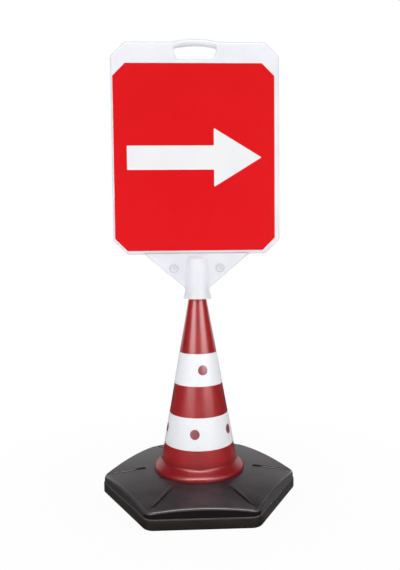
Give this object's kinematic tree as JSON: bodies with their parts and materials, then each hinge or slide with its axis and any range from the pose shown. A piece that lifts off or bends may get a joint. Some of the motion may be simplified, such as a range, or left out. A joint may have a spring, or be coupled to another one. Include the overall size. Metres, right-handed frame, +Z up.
{
  "type": "cone sign",
  "caption": "Free-standing double-sided sign panel with a hand hole, carried by a bell socket on a banded traffic cone with a domed hexagonal weighted base.",
  "frame": {"origin": "middle of the base's underside, on the floor", "axes": "+Z up along the cone's axis, -Y out of the front of the sign, +X to the right of someone who faces it"},
  "size_m": [0.5256, 0.464, 1.22],
  "materials": {
    "ballast_rubber": "matt moulded",
    "cover_plastic": "satin moulded",
    "zinc_steel": "zinc plated",
    "insert_brass": "turned",
    "cone_plastic": "glossy moulded",
    "sleeve_plastic": "satin",
    "spigot_plastic": "moulded",
    "panel_plastic": "satin moulded",
    "graphic_film": "satin film",
    "connector_plastic": "moulded"
  },
  "bodies": {
    "stand": {"ballast_slab": "ballast_rubber", "base_cover": "cover_plastic", "base_bolts": "zinc_steel", "base_washers": "zinc_steel", "foot_inserts": "insert_brass", "cone_shell": "cone_plastic", "lower_sleeve": "sleeve_plastic", "upper_sleeve": "sleeve_plastic"},
    "spigot": {"neck_spigot": "spigot_plastic", "spigot_retainer": "zinc_steel"},
    "sign": {"sign_front_shell": "panel_plastic", "sign_rear_shell": "panel_plastic", "front_graphic": "graphic_film", "rear_graphic": "graphic_film", "connector_barrels": "connector_plastic", "connector_screws": "connector_plastic"}
  },
  "joints": [
    {"name": "sign_swivel", "type": "hinge", "parent": "stand", "child": "spigot", "pos_m": [0, 0, 0.545], "axis": [0, 0, 1], "continuous": true},
    {"name": "sign_lift", "type": "slide", "parent": "spigot", "child": "sign", "axis": [0, 0, 1], "range_m": [0, 0.11]}
  ]
}
